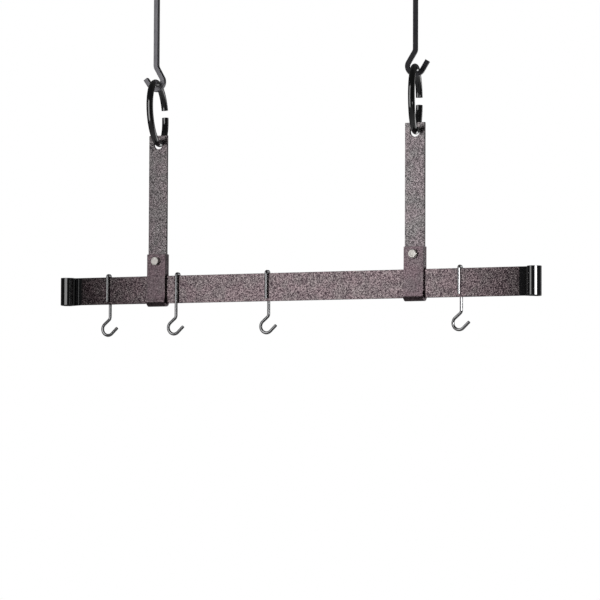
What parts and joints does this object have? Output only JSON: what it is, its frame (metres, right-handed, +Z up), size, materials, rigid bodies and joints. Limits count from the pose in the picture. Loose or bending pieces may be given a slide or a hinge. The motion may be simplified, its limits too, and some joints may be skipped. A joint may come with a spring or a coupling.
{
  "type": "hanging pot rack",
  "caption": "Flat hammered-steel bar with rolled ends, hung on straps, split rings and ceiling hooks, with S-shaped pot hooks that slide along it.",
  "frame": {"origin": "midway between the bearing points of the two upper ceiling hooks, on the bar's middle plane", "axes": "+X along the bar to the right as seen from the front, -Y the front with the bolt heads, +Z up"},
  "size_m": [0.965, 0.1216, 0.7748],
  "materials": {
    "hammered_steel": "hammered enamel, semi-gloss",
    "saddle_paint": "hammered enamel, satin",
    "zinc": "zinc plated",
    "gloss_black": "gloss black enamel",
    "dark_rod": "satin grey enamel",
    "dark_wire": "satin dark grey enamel"
  },
  "bodies": {
    "ceiling_hooks": {"left_ceiling_hook": "dark_rod", "right_ceiling_hook": "dark_rod"},
    "left_ring": {"left_ring": "gloss_black"},
    "right_ring": {"right_ring": "gloss_black"},
    "hangers": {"left_strap": "hammered_steel", "right_strap": "hammered_steel", "left_saddle": "saddle_paint", "right_saddle": "saddle_paint", "left_bolt": "zinc", "right_bolt": "zinc", "left_lock_washer": "zinc", "right_lock_washer": "zinc", "left_nut": "zinc", "right_nut": "zinc"},
    "bar": {"bar": "hammered_steel"},
    "pot_hook_1": {"pot_hook_1": "dark_wire"},
    "pot_hook_2": {"pot_hook_2": "dark_wire"},
    "pot_hook_3": {"pot_hook_3": "dark_wire"},
    "pot_hook_4": {"pot_hook_4": "dark_wire"}
  },
  "joints": [
    {"name": "left_ring_swing", "type": "hinge", "parent": "ceiling_hooks", "child": "left_ring", "pos_m": [-0.2634, 0, -0.3094], "axis": [1, 0, 0], "range_deg": [-20, 20]},
    {"name": "right_ring_swing", "type": "hinge", "parent": "ceiling_hooks", "child": "right_ring", "pos_m": [0.2634, 0, -0.3094], "axis": [1, 0, 0], "range_deg": [-20, 20]},
    {"name": "rack_swing", "type": "hinge", "parent": "left_ring", "child": "hangers", "pos_m": [-0.2575, 0, -0.4031], "axis": [1, 0, 0], "range_deg": [-25, 25]},
    {"name": "bar_shift", "type": "slide", "parent": "hangers", "child": "bar", "axis": [1, 0, 0], "range_m": [-0.01, 0.036]},
    {"name": "pot_hook_1_slide", "type": "slide", "parent": "bar", "child": "pot_hook_1", "axis": [1, 0, 0], "range_m": [-0.03, 0.036]},
    {"name": "pot_hook_2_slide", "type": "slide", "parent": "bar", "child": "pot_hook_2", "axis": [1, 0, 0], "range_m": [-0.006, 0.06]},
    {"name": "pot_hook_3_slide", "type": "slide", "parent": "bar", "child": "pot_hook_3", "axis": [1, 0, 0], "range_m": [-0.07, 0.12]},
    {"name": "pot_hook_4_slide", "type": "slide", "parent": "bar", "child": "pot_hook_4", "axis": [1, 0, 0], "range_m": [-0.045, 0.09]}
  ],
  "couplings": [
    {"joint": "right_ring_swing", "follows": "left_ring_swing", "ratio": 1}
  ]
}
